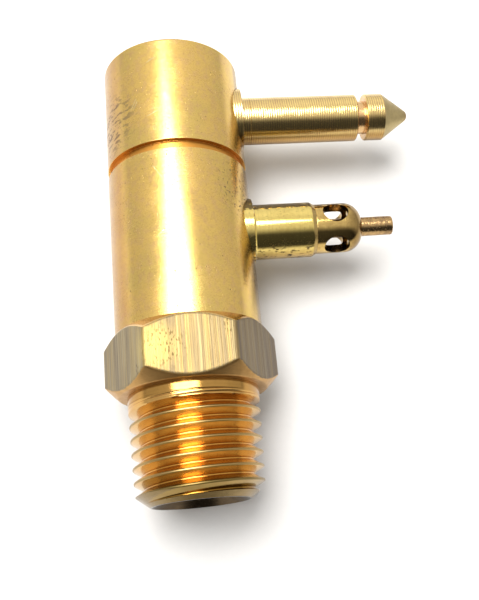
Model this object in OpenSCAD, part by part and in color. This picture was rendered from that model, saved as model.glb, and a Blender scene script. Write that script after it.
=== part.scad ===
// Twin-prong male quick-connect fuel fitting with a 1/4-18 NPT male thread.
// It lies on one flat of its hexagon. The body's axis is Y, with the threaded end at Y = 0,
// and both prongs point along +X.

/* [Body] */
// Length from the threaded end to the blind end
body_length = 49.75; // [49:0.05:54]
// Diameter of the round barrel
barrel_d = 15.6; // [15.4:0.05:15.8]
// Width of the hexagon across its flats
hex_af = 15.875; // [15.85:0.025:17]
// Diameter over the hexagon's softened corners
hex_corner_d = 18.15; // [17.8:0.05:18.3]
// Distance from the threaded end to the hexagon's washer face
washer_face_y = 11.15; // [11:0.05:11.5]
// Diameter of the washer face
washer_face_d = 15.4; // [14.8:0.1:15.6]
// Distance from the threaded end to the full corners of the hexagon
corner_low_y = 12.5; // [12.3:0.05:12.8]
// Distance from the threaded end to the end of the full corners
corner_high_y = 16.4; // [16:0.05:16.6]
// Distance from the threaded end to where the upper chamfer meets the barrel
barrel_start_y = 17.65; // [17.3:0.05:18.2]
// Distance from the threaded end to the middle of the identification groove
groove_y = 36.55; // [35.5:0.05:37.5]
// Width of the identification groove
groove_w = 1.05; // [0.6:0.05:1.5]
// Depth of the identification groove
groove_depth = 0.5; // [0.2:0.05:0.8]
// Chamfer on the barrel's blind end
end_break = 0.2; // [0.1:0.05:0.5]

/* [Male thread] */
// Number of threads in 25.4 mm
threads_per_inch = 18; // [18:1:18]
// Crest diameter that the taper would have at the threaded end
thread_crest_d = 13; // [12.9:0.05:13.3]
// Width of the flat on each crest
crest_flat = 0.16; // [0.08:0.02:0.2]
// Width of the flat in each root
root_flat = 0.1; // [0.06:0.02:0.16]
// Diameter of the plain neck between the thread and the hexagon
neck_d = 13.65; // [13.5:0.05:13.9]
// Distance from the threaded end to the neck
neck_y = 10.1; // [9.9:0.05:10.3]
// Outer diameter of the narrow flat ring at the threaded end
end_ring_d = 10.1; // [9.9:0.05:10.8]

/* [Waterway] */
// Diameter of the inlet bore
inlet_d = 8; // [7:0.1:8.4]
// Depth of the inlet bore's full diameter
inlet_depth = 33.2; // [32.5:0.1:34]
// Diameter of the countersink at the mouth of the inlet bore
mouth_d = 9.8; // [8.6:0.1:9.8]
// Diameter of the cross hole from the inlet bore to the valve
cross_hole_d = 5.4; // [4:0.1:5.8]

/* [Prongs] */
// Distance from the threaded end to the valve prong's axis
valve_y = 29.15; // [28.5:0.05:29.3]
// Distance between the axes of the two prongs
prong_spacing = 14.5; // [14.2:0.05:14.8]
// Diameter of the root with which each prong is pressed into the body
root_d = 7.65; // [7:0.1:8]
// Distance from the body's axis to the outer face of each root
root_face_x = 7.85; // [7.8:0.05:8.1]
// Distance from the body's axis to the bottom of each root's socket
socket_x = 4.6; // [4.4:0.1:5]

/* [Guide pin] */
// Diameter of the guide pin
pin_d = 5.5; // [5:0.02:5.8]
// Distance from the body's axis to the near side of the latch groove
latch_x = 21.7; // [21:0.02:22]
// Width of the latch groove
latch_w = 1.08; // [0.8:0.02:1.3]
// Diameter of the pin inside the latch groove
latch_d = 3.88; // [3:0.02:4.2]
// Distance from the body's axis to the start of the cone
cone_x = 24.92; // [24.2:0.02:25.2]
// Half angle of the cone
cone_half_angle = 35; // [30:0.5:38]
// Radius of the rounded tip
tip_r = 0.8; // [0.5:0.05:1.2]

/* [Valve prong] */
// Outer diameter of the sleeve
sleeve_d = 6.23; // [6.1:0.01:6.4]
// Bore of the sleeve, where the poppet slides
chamber_d = 4.9; // [4.7:0.05:4.9]
// Thickness of the sleeve's inner end, which holds the spring
spring_wall = 0.8; // [0.6:0.1:1]
// Diameter of the hole through the sleeve's inner end
passage_d = 3.4; // [3.2:0.1:3.5]
// Distance from the body's axis to the sleeve's outer end
sleeve_end_x = 14.9; // [14.7:0.05:15]
// Outer diameter of the cage
cage_d = 5.64; // [5.5:0.01:5.7]
// Bore of the cage
cage_bore_d = 3.8; // [3.6:0.05:3.9]
// Distance from the body's axis to the valve seat, which is the cage's inner end
seat_x = 12.4; // [12:0.1:12.8]
// Distance from the body's axis to the middle of the cross ports
port_x = 17.2; // [16.8:0.05:17.3]
// Diameter of each cross port
port_d = 2.7; // [2:0.05:2.8]
// Number of cross ports
port_count = 4; // [4:1:4]
// Angle from the body's threaded end to the first cross port
port_clock = -20; // [-45:1:45]
// Distance from the body's axis to the end of the cage
cage_end_x = 20.42; // [20.3:0.02:20.5]
// Radius of the cage's domed nose
nose_r = 2.07; // [1.7:0.01:2.1]
// Thickness of the cage's nose, where the stem is guided
nose_wall = 1.1; // [0.9:0.05:1.2]

/* [Valve] */
// Diameter of the stem
stem_d = 2.19; // [2:0.01:2.3]
// Distance from the body's axis to the tip of the stem
stem_tip_x = 24.06; // [23:0.02:24.4]
// Radial clearance of each sliding fit
running_clearance = 0.05; // [0.03:0.01:0.08]
// Thickness of the seal
seal_t = 0.8; // [0.6:0.05:1]
// Thickness of the poppet's head
poppet_t = 1.2; // [1:0.05:1.3]
// Width of the poppet's head across its four flats
poppet_flats = 3.9; // [3.6:0.05:4.2]
// Length of the poppet's spigot inside the spring
spigot_l = 0.8; // [0.5:0.05:1]
// Distance that the valve travels when it is pushed open
valve_travel = 2.5; // [2:0.1:2.5]

/* [Valve spring] */
// Diameter of the spring wire
wire_d = 0.36; // [0.3:0.02:0.36]
// Number of turns, with the closed turn at each end
spring_turns = 5.5; // [4.5:0.5:5.5]
// Mean diameter of the spring's turns
spring_mean_d = 3.8; // [3.7:0.05:3.9]

/* [Hidden] */
$fn = 96;
eps = 0.01;
overrun = 1;

barrel_r = barrel_d / 2;
root_r = root_d / 2;
guide_y = valve_y + prong_spacing;

// Thread form: 60 degree flanks on a taper of 1 in 16 on diameter
inch = 25.4;
pitch = inch / threads_per_inch;
thread_taper = 1 / 32;
flank_w = (pitch - crest_flat - root_flat) / 2;
thread_depth = flank_w / tan(30);
thread_start_angle = 235;
thread_start_y = -2.43;
steps_per_turn = 48;
thread_turns = 8;
fade_turns = 1;
thread_steps = steps_per_turn * thread_turns;
thread_top_y = neck_y + 0.4;
thread_core_d = thread_crest_d - 2 * thread_depth;
end_chamfer_slope = 1.3;
thread_foot_y = -2.9;
thread_foot_r = 4.7;

// Valve stack along X, from the seat inwards
poppet_face_x = seat_x - seal_t;
poppet_back_x = poppet_face_x - poppet_t;
spigot_x = poppet_back_x - spigot_l;
spring_foot_x = socket_x + spring_wall;
spigot_d = 2.9;
seal_d = 4.5;

brass = [0.80, 0.64, 0.33];
worn_brass = [0.72, 0.62, 0.36];
copper_brass = [0.72, 0.50, 0.32];
steel = [0.70, 0.71, 0.72];
nitrile = [0.08, 0.08, 0.08];

// Turned about the body's axis, Y: each outline point is [radius, y]
module turned_on_y(outline) {
    rotate([-90, 0, 0])
        rotate_extrude()
            polygon(outline);
}

// Turned about a prong's axis, parallel to X: each outline point is [radius, x]
module turned_on_x(axis_y, outline) {
    translate([0, axis_y, 0])
        rotate([0, 90, 0])
            rotate_extrude()
                polygon(outline);
}

// Plain cylinder on a prong's axis from x_from to x_to
module cylinder_on_x(axis_y, d, x_from, x_to) {
    translate([x_from, axis_y, 0])
        rotate([0, 90, 0])
            cylinder(d = d, h = x_to - x_from);
}

// Points of an arc, as [radius, x], about the centre [centre_r, centre_x]
function arc_points(centre_r, centre_x, r, angle_from, angle_to, count) =
    [for (i = [0 : count])
        let (a = angle_from + (angle_to - angle_from) * i / count)
            [centre_r + r * cos(a), centre_x + r * sin(a)]];

// ---- body ----

module barrel() {
    floor_r = barrel_r - groove_depth;
    turned_on_y([
        [0, corner_high_y],
        [barrel_r, corner_high_y],
        [barrel_r, groove_y - groove_w / 2],
        [floor_r, groove_y - groove_w / 2],
        [floor_r, groove_y + groove_w / 2],
        [barrel_r, groove_y + groove_w / 2],
        [barrel_r, body_length - end_break],
        [barrel_r - end_break, body_length],
        [0, body_length]
    ]);
}

module hexagon() {
    intersection() {
        translate([0, washer_face_y, 0])
            rotate([-90, 0, 0])
                cylinder(d = hex_af / cos(30), h = barrel_start_y - washer_face_y, $fn = 6);
        turned_on_y([
            [0, washer_face_y],
            [washer_face_d / 2, washer_face_y],
            [hex_corner_d / 2, corner_low_y],
            [hex_corner_d / 2, corner_high_y],
            [barrel_r, barrel_start_y],
            [0, barrel_start_y]
        ]);
    }
}

module neck() {
    neck_break = 0.2;
    turned_on_y([
        [0, neck_y],
        [neck_d / 2 - neck_break, neck_y],
        [neck_d / 2, neck_y + neck_break],
        [neck_d / 2, washer_face_y + eps],
        [0, washer_face_y + eps]
    ]);
}

// Radius of the lead-in chamfer at the threaded end
function end_chamfer_r(y) = end_ring_d / 2 + end_chamfer_slope * max(y, 0);

// Height of the ridge at one step of the helix, from 1 down to 0 in the fading turns
function ridge_share(step) = min(1, (thread_steps - step) / (steps_per_turn * fade_turns));

// One point of the helix: corner 0 and 3 are the ridge's feet, 1 and 2 its crest
function helix_point(step, corner) =
    let (offset = [0, flank_w, flank_w + crest_flat, 2 * flank_w + crest_flat][corner],
         angle = thread_start_angle + 360 * step / steps_per_turn,
         y = thread_start_y + pitch * step / steps_per_turn + offset,
         root_r = thread_core_d / 2 + thread_taper * y,
         rise = (corner == 1 || corner == 2) ? thread_depth * ridge_share(step) : 0,
         r = min(root_r + rise, end_chamfer_r(y)))
    [r * cos(angle), r * sin(angle), y];

// A flat ring of points, in step with the helix
function ring_points(r, y) =
    [for (i = [0 : steps_per_turn - 1])
        let (angle = thread_start_angle + 360 * i / steps_per_turn)
            [r * cos(angle), r * sin(angle), y]];

// Solid core and ridge of the thread as one closed surface, which the plane of the threaded
// end cuts off square
module thread() {
    helix = [for (s = [0 : thread_steps]) for (c = [0 : 3]) helix_point(s, c)];
    foot = ring_points(thread_foot_r, thread_foot_y);
    head = ring_points(thread_core_d / 2 + thread_taper * thread_top_y, thread_top_y);
    foot_at = len(helix);
    head_at = foot_at + steps_per_turn;
    top_step = thread_steps - steps_per_turn;
    side_faces = [for (s = [0 : thread_steps - 1]) for (c = [0 : 2])
        let (a = 4 * s + c)
            each [[a, a + 5, a + 4], [a, a + 1, a + 5]]];
    root_faces = [for (s = [0 : top_step - 1])
        let (a = 4 * s + 3, b = 4 * (s + steps_per_turn))
            each [[a, b + 4, a + 4], [a, b, b + 4]]];
    foot_faces = [for (i = [0 : steps_per_turn - 1])
        let (a = foot_at + i, b = foot_at + (i + 1) % steps_per_turn)
            each [[a, 4 * (i + 1), b], [a, 4 * i, 4 * (i + 1)]]];
    head_faces = [for (i = [0 : steps_per_turn - 1])
        let (a = 4 * (top_step + i) + 3, b = head_at + i, c = head_at + (i + 1) % steps_per_turn)
            each [[a, c, a + 4], [a, b, c]]];
    start_face = [[foot_at, 4 * steps_per_turn, 3, 2, 1, 0]];
    end_face = [[head_at, 4 * top_step + 3, 4 * thread_steps, 4 * thread_steps + 1,
                 4 * thread_steps + 2, 4 * thread_steps + 3]];
    caps = [[for (i = [0 : steps_per_turn - 1]) foot_at + i],
            [for (i = [0 : steps_per_turn - 1]) head_at + steps_per_turn - 1 - i]];
    rotate([-90, 0, 0])
        intersection() {
            polyhedron(concat(helix, foot, head),
                       concat(side_faces, root_faces, foot_faces, head_faces,
                              start_face, end_face, caps));
            cylinder(d = barrel_d, h = thread_top_y + overrun);
        }
}

module inlet_bore() {
    drill_half_angle = 59;
    drill_tip = inlet_d / 2 / tan(drill_half_angle);
    mouth_depth = (mouth_d - inlet_d) / 2;
    turned_on_y([
        [0, -overrun],
        [mouth_d / 2 + overrun, -overrun],
        [inlet_d / 2, mouth_depth],
        [inlet_d / 2, inlet_depth],
        [0, inlet_depth + drill_tip]
    ]);
}

module body() {
    color(brass)
        difference() {
            union() {
                barrel();
                hexagon();
                neck();
                thread();
            }
            inlet_bore();
            cylinder_on_x(valve_y, cross_hole_d, 0, socket_x + overrun);
            cylinder_on_x(valve_y, root_d, socket_x, barrel_r + overrun);
            cylinder_on_x(guide_y, root_d, socket_x, barrel_r + overrun);
        }
}

// ---- prongs ----

module guide_pin() {
    pin_r = pin_d / 2;
    root_break = 0.12;
    groove_break = 0.12;
    apex_x = cone_x + pin_r / tan(cone_half_angle);
    tip_centre_x = apex_x - tip_r / sin(cone_half_angle);
    color(brass)
        turned_on_x(guide_y, concat(
            [
                [0, socket_x],
                [root_r - root_break, socket_x],
                [root_r, socket_x + root_break],
                [root_r, root_face_x],
                [pin_r, root_face_x],
                [pin_r, latch_x - groove_break],
                [pin_r - groove_break, latch_x],
                [latch_d / 2, latch_x],
                [latch_d / 2, latch_x + latch_w],
                [pin_r - groove_break, latch_x + latch_w],
                [pin_r, latch_x + latch_w + groove_break],
                [pin_r, cone_x]
            ],
            arc_points(0, tip_centre_x, tip_r, cone_half_angle, 90, 8)
        ));
}

module nozzle_sleeve() {
    root_break = 0.12;
    root_fillet = 0.2;
    rim_lip = 0.03;
    rim_r = cage_d / 2 + rim_lip;
    rim_l = 0.45;
    color(brass)
        turned_on_x(valve_y, [
            [passage_d / 2, socket_x],
            [root_r - root_break, socket_x],
            [root_r, socket_x + root_break],
            [root_r, root_face_x],
            [sleeve_d / 2 + root_fillet, root_face_x],
            [sleeve_d / 2, root_face_x + root_fillet],
            [sleeve_d / 2, sleeve_end_x - rim_l],
            [rim_r, sleeve_end_x],
            [chamber_d / 2, sleeve_end_x],
            [chamber_d / 2, spring_foot_x],
            [passage_d / 2, spring_foot_x]
        ]);
}

module valve_cage() {
    cage_r = cage_d / 2;
    guide_r = stem_d / 2 + running_clearance;
    nose_centre_r = cage_r - nose_r;
    nose_centre_x = cage_end_x - nose_r;
    rim_angle = acos((guide_r - nose_centre_r) / nose_r);
    rim_x = nose_centre_x + nose_r * sin(rim_angle);
    color(worn_brass)
        difference() {
            turned_on_x(valve_y, concat(
                [
                    [cage_bore_d / 2, seat_x],
                    [chamber_d / 2, seat_x],
                    [chamber_d / 2, sleeve_end_x],
                    [cage_r, sleeve_end_x]
                ],
                arc_points(nose_centre_r, nose_centre_x, nose_r, 0, rim_angle, 10),
                [
                    [guide_r, rim_x - nose_wall],
                    [cage_bore_d / 2, rim_x - nose_wall]
                ]
            ));
            for (i = [0 : port_count - 1])
                translate([port_x, valve_y, 0])
                    rotate([port_clock + 90 + 360 * i / port_count, 0, 0])
                        cylinder(d = port_d, h = cage_d);
        }
}

// ---- valve ----

module valve_stem() {
    stem_r = stem_d / 2;
    tip_break = 0.3;
    color(copper_brass)
        turned_on_x(valve_y, concat(
            [
                [0, spigot_x],
                [stem_r, spigot_x],
                [stem_r, stem_tip_x - tip_break]
            ],
            arc_points(stem_r - tip_break, stem_tip_x - tip_break, tip_break, 0, 90, 4),
            [[0, stem_tip_x]]
        ));
}

module valve_poppet() {
    color(brass)
        difference() {
            union() {
                intersection() {
                    cylinder_on_x(valve_y, chamber_d - 2 * running_clearance,
                                  poppet_back_x, poppet_face_x);
                    translate([poppet_back_x - overrun, valve_y - poppet_flats / 2,
                               -poppet_flats / 2])
                        cube([poppet_t + 2 * overrun, poppet_flats, poppet_flats]);
                }
                cylinder_on_x(valve_y, spigot_d, spigot_x, poppet_back_x + eps);
            }
            cylinder_on_x(valve_y, stem_d, spigot_x - overrun, poppet_face_x + overrun);
        }
}

module valve_seal() {
    edge = 0.15;
    color(nitrile)
        turned_on_x(valve_y, [
            [stem_d / 2, poppet_face_x],
            [seal_d / 2 - edge, poppet_face_x],
            [seal_d / 2, poppet_face_x + edge],
            [seal_d / 2, seat_x - edge],
            [seal_d / 2 - edge, seat_x],
            [stem_d / 2, seat_x]
        ]);
}

// Distance of the spring wire's centre along X at each share of its turns
function spring_x(turn) =
    let (first = spring_foot_x + wire_d / 2 + eps,
         last = poppet_back_x - wire_d / 2 - eps,
         active = spring_turns - 2,
         rise = last - first - 2 * wire_d)
    turn < 1 ? first + wire_d * turn
    : turn < spring_turns - 1 ? first + wire_d + rise * (turn - 1) / active
    : last - wire_d * (spring_turns - turn);

module valve_spring() {
    sides = 8;
    steps = 24;
    rings = floor(spring_turns * steps);
    points = [for (k = [0 : rings]) for (j = [0 : sides - 1])
        let (turn = k / steps,
             across = spring_mean_d / 2 + wire_d / 2 * cos(360 * j / sides))
            [spring_x(turn) + wire_d / 2 * sin(360 * j / sides),
             across * cos(360 * turn),
             across * sin(360 * turn)]];
    walls = [for (k = [0 : rings - 1]) for (j = [0 : sides - 1])
        let (a = k * sides + j, b = k * sides + (j + 1) % sides)
            each [[a, a + sides, b + sides], [a, b + sides, b]]];
    ends = [[for (j = [0 : sides - 1]) j],
            [for (j = [0 : sides - 1]) rings * sides + sides - 1 - j]];
    solid_l = (spring_turns + 1) * wire_d;
    assert(poppet_back_x - valve_travel - spring_foot_x > solid_l,
           "the spring's turns meet before the valve is fully open");
    color(steel)
        translate([0, valve_y, 0])
            polyhedron(points, concat(walls, ends));
}

body();
guide_pin();
nozzle_sleeve();
valve_cage();
valve_stem();
valve_poppet();
valve_seal();
valve_spring();
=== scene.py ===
"""A brass twin-prong quick-connect fuel fitting, lying on one flat of its hexagon.

The object's lengths are in millimetres until mesh() scales them to metres; the floor and light are in
metres. An outline is a list of points (radius, distance along the axis), turned about the body's axis
(Y) or a prong's axis (X).
"""
import math

import bmesh
import bpy
from mathutils import Matrix, Vector, noise


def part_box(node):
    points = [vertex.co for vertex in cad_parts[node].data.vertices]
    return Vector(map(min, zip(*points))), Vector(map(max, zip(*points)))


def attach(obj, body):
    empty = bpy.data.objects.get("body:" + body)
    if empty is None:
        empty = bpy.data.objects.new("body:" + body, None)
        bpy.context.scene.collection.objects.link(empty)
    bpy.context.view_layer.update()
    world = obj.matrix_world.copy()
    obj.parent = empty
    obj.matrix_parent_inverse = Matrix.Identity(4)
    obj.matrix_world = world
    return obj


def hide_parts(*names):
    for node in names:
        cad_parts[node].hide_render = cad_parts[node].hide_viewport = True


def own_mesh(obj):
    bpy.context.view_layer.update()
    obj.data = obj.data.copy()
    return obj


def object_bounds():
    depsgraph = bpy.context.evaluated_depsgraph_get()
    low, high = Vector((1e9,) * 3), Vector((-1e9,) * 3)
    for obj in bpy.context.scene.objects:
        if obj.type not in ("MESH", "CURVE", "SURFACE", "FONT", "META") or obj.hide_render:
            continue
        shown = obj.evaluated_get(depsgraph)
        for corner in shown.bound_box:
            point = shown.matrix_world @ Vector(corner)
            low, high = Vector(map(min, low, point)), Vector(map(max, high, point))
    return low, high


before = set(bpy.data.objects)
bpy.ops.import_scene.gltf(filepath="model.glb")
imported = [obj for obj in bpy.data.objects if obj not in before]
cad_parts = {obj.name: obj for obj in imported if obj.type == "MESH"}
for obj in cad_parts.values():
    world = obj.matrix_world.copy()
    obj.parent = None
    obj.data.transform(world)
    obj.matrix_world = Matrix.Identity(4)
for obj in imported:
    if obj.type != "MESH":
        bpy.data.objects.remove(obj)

CAD_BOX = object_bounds()
CAD_BOX_CENTRE = (Vector(CAD_BOX[0]) + Vector(CAD_BOX[1])) / 2
MM = 0.001
INCH = 25.4


def node_box(node):
    """Lowest and highest corners of a CAD node, in millimetres."""
    low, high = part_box(node)
    return low / MM, high / MM


# ---- dimensions, in millimetres ----

BODY_LOW, BODY_HIGH = node_box("body")
PIN_LOW, PIN_HIGH = node_box("guide_pin")
CAGE_LOW, CAGE_HIGH = node_box("valve_cage")
STEM_LOW, STEM_HIGH = node_box("valve_stem")
SEAL_LOW, SEAL_HIGH = node_box("valve_seal")

BODY_LENGTH = BODY_HIGH.y
HEX_FLAT_R = BODY_HIGH.z
HEX_CORNER_R = 9.075
GUIDE_Y = (PIN_LOW.y + PIN_HIGH.y) / 2
VALVE_Y = (STEM_LOW.y + STEM_HIGH.y) / 2
FLOOR_Z = BODY_LOW.z

BARREL_R = 7.8
WASHER_Y = 11.15
WASHER_R = 7.7
CORNER_LOW_Y = 12.5
CORNER_HIGH_Y = 16.4
BARREL_START_Y = 17.65
GROOVE_Y = 36.55
GROOVE_W = 1.05
GROOVE_DEPTH = 0.5

PITCH = INCH / 18
THREAD_TAPER = 1 / 32
CREST_R = 6.5
CREST_FLAT = 0.16
ROOT_FLAT = 0.1
FLANK_ANGLE = math.radians(30)
THREAD_DEPTH = (PITCH - CREST_FLAT - ROOT_FLAT) / 2 / math.tan(FLANK_ANGLE)
THREAD_PHASE = 0.4
FADE_Y = 9.5             # where the thread starts to fade out towards the neck
FADE_SLOPE = 2.0
WASH_LINES = 4           # fine tool lines in a pitch where the thread fades out
WASH_DEPTH = 0.07
NECK_Y = 10.1
NECK_R = 6.825
END_RING_R = 5.05
END_SLOPE = 1.3

INLET_R = 4.0
INLET_DEPTH = 33.2
DRILL_HALF_ANGLE = math.radians(59)
MOUTH_R = 4.9
CROSS_HOLE_R = 2.7

ROOT_R = 3.825
ROOT_FACE_X = 7.85
SOCKET_X = PIN_LOW.x
SEAM = 0.05              # gap round a pressed root, which reads as a fine dark line
EDGE_BREAK = 0.12

PIN_R = 2.75
LATCH_X = 21.7
LATCH_W = 1.08
LATCH_R = 1.94
CONE_X = 24.92
CONE_HALF_ANGLE = math.radians(35)
TIP_R = 0.8

SLEEVE_R = 3.115
CHAMBER_R = 2.45
SPRING_FOOT_X = 5.4
PASSAGE_R = 1.7
SLEEVE_END_X = node_box("nozzle_sleeve")[1].x
RIM_L = 0.45

CAGE_R = 2.82
CAGE_BORE_R = 1.9
SEAT_X = CAGE_LOW.x
PORT_X = 17.2
PORT_R = 1.35
PORT_COUNT = 4
PORT_CLOCK = -20
NOSE_R = 2.07
NOSE_WALL = 1.1

STEM_R = 1.095
CLEARANCE = 0.05
PRESS_GAP = 0.003
POPPET_FACE_X = SEAL_LOW.x
POPPET_BACK_X = POPPET_FACE_X - 1.2
SPIGOT_R = 1.45
POPPET_FLATS = 3.9
WIRE_D = 0.36
SPRING_TURNS = 5.5
SPRING_R = 1.9

# Middles of worn patches: dark scuffs, pits, bare brass and dark spots
SCUFFED = (-6.7, 41.2, 4.4)
PITTED = (6.3, 32.2, 4.4)
BARE = (-3.6, 14.4, 8.4)
SPOTTED = (-2.6, 14.4, 7.9)
# The prongs' side towards the thread and a little down, where painted shade darkens them
SHADED_SIDE = (0, -0.91, -0.30)
# Bright scratches on the barrel: middle, direction and length
SCRATCHES = (
    ((-4.3, 42.2, 6.5), (0.45, 0.85, 0.30), 1.6),
    ((-4.1, 42.0, 6.63), (0.45, 0.85, 0.30), 1.2),
    ((-2.2, 47.2, 7.48), (0.85, 0.45, 0.25), 1.2),
    ((-2.4, 40.4, 7.42), (0.90, 0.30, 0.28), 1.3),
    ((-2.2, 26.4, 7.48), (0.70, 0.65, 0.20), 1.0),
    ((-2.6, 21.4, 7.35), (0.30, 0.93, 0.10), 0.8),
    ((-2.2, 33.4, 7.48), (-0.50, 0.85, -0.15), 2.0),
)


# ---- outlines ----

def rounded(outline, radius, closed=False, arc_steps=4):
    """The outline with its corners rounded; a point's own third number overrides the radius.

    A rounding takes at most 0.4 of the side it starts on, with a support point 0.3 of its size beyond.
    """
    points = []
    count = len(outline)
    for i, corner in enumerate(outline):
        here = Vector(corner[:2])
        size = corner[2] if len(corner) > 2 else radius
        if size == 0 or (not closed and i in (0, count - 1)):
            points.append(here)
            continue
        before = Vector(outline[i - 1][:2]) - here
        after = Vector(outline[(i + 1) % count][:2]) - here
        reach = min(size, 0.4 * before.length, 0.4 * after.length)
        start, end = here + before.normalized() * reach, here + after.normalized() * reach
        support = 0.3 * reach
        points.append(start + before.normalized() * support)
        for k in range(arc_steps + 1):
            t = k / arc_steps
            points.append(start.lerp(here, t).lerp(here.lerp(end, t), t))
        points.append(end + after.normalized() * support)
    return points


def divided(outline, longest=0.5):
    """The outline with its long straight stretches cut into short ones, for clean shading."""
    points = [Vector(outline[0][:2])]
    for corner in outline[1:]:
        before, here = points[-1], Vector(corner[:2])
        count = max(1, math.ceil((here - before).length / longest))
        points += [before.lerp(here, (k + 1) / count) for k in range(count)]
    return points


def arc(centre_r, centre_x, radius, angle_from, angle_to, steps):
    """Points of an arc, left as they are by rounded()."""
    points = []
    for i in range(steps + 1):
        angle = math.radians(angle_from + (angle_to - angle_from) * i / steps)
        points.append((centre_r + radius * math.cos(angle), centre_x + radius * math.sin(angle), 0))
    return points


def turned(outline, steps, closed=False):
    """Vertices (a, b, along) and faces of an outline turned about its axis."""
    vertices, faces, rings = [], [], []
    for r, along in outline:
        if r < 1e-6:
            rings.append([len(vertices)])
            vertices.append((0.0, 0.0, along))
            continue
        rings.append(list(range(len(vertices), len(vertices) + steps)))
        for j in range(steps):
            angle = 2 * math.pi * j / steps
            vertices.append((r * math.cos(angle), r * math.sin(angle), along))
    pairs = list(zip(rings, rings[1:]))
    if closed:
        pairs.append((rings[-1], rings[0]))
    for low, high in pairs:
        for j in range(steps):
            k = (j + 1) % steps
            if len(low) == 1 and len(high) > 1:
                faces.append((low[0], high[k], high[j]))
            elif len(high) == 1 and len(low) > 1:
                faces.append((low[j], low[k], high[0]))
            elif len(low) > 1:
                faces.append((low[j], low[k], high[k], high[j]))
    return vertices, faces


# ---- meshes ----

def mesh(name, vertices, faces):
    """A closed smooth-shaded object from vertices in millimetres."""
    data = bpy.data.meshes.new(name)
    data.from_pydata([Vector(v) * MM for v in vertices], [], faces)
    data.update()
    piece = bpy.data.objects.new(name, data)
    bpy.context.scene.collection.objects.link(piece)
    face_outwards(data)
    return piece


def face_outwards(data):
    """Turns every face outwards."""
    work = bmesh.new()
    work.from_mesh(data)
    bmesh.ops.recalc_face_normals(work, faces=work.faces)
    work.to_mesh(data)
    work.free()


def on_y(name, outline, steps=192, closed=False):
    """An object turned about the body's axis."""
    vertices, faces = turned(divided(outline), steps, closed)
    return mesh(name, [(a, along, b) for a, b, along in vertices], faces)


def on_x(name, axis_y, outline, steps=128, closed=False):
    """An object turned about a prong's axis."""
    vertices, faces = turned(divided(outline), steps, closed)
    return mesh(name, [(along, axis_y + a, b) for a, b, along in vertices], faces)


def combine(piece, tool, operation):
    """Joins, cuts or intersects piece with tool, and removes the tool."""
    modifier = piece.modifiers.new(operation.lower(), "BOOLEAN")
    modifier.operation = operation
    modifier.solver = "MANIFOLD"
    modifier.object = tool
    graph = bpy.context.evaluated_depsgraph_get()
    result = bpy.data.meshes.new_from_object(piece.evaluated_get(graph))
    piece.modifiers.remove(modifier)
    piece.data = result
    bpy.data.objects.remove(tool)


def shade(piece, angle=28):
    """Smooth shading, with edges sharper than the angle in degrees kept crisp."""
    data = piece.data
    data.polygons.foreach_set("use_smooth", [True] * len(data.polygons))
    data.set_sharp_from_angle(angle=math.radians(angle))


def paint(piece, materials, rule):
    """Gives each face the material that rule names for its centre, in millimetres."""
    piece.data.materials.clear()
    order = list(materials)
    for key in order:
        piece.data.materials.append(materials[key])
    for face in piece.data.polygons:
        face.material_index = order.index(rule(face.center / MM))


def soft_min(a, b, width):
    """The smaller of two numbers, blended where they are close."""
    blend = max(width - abs(a - b), 0) / width
    return min(a, b) - blend * blend * width / 4


# ---- materials ----

# Share of a material's colour that handled metal still reflects
METAL_GAIN = 0.8
# Colours of the dirt in pits and crust, and of metal under a fresh scratch
PIT_COLOUR = (0.10, 0.07, 0.04)
CRUST_COLOUR = (0.09, 0.06, 0.035)
SCUFF_COLOUR = (0.16, 0.12, 0.08)
SCRATCH_COLOUR = (1.0, 0.93, 0.62)
BLOTCH_COLOUR = (0.82, 0.52, 0.24)


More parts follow.
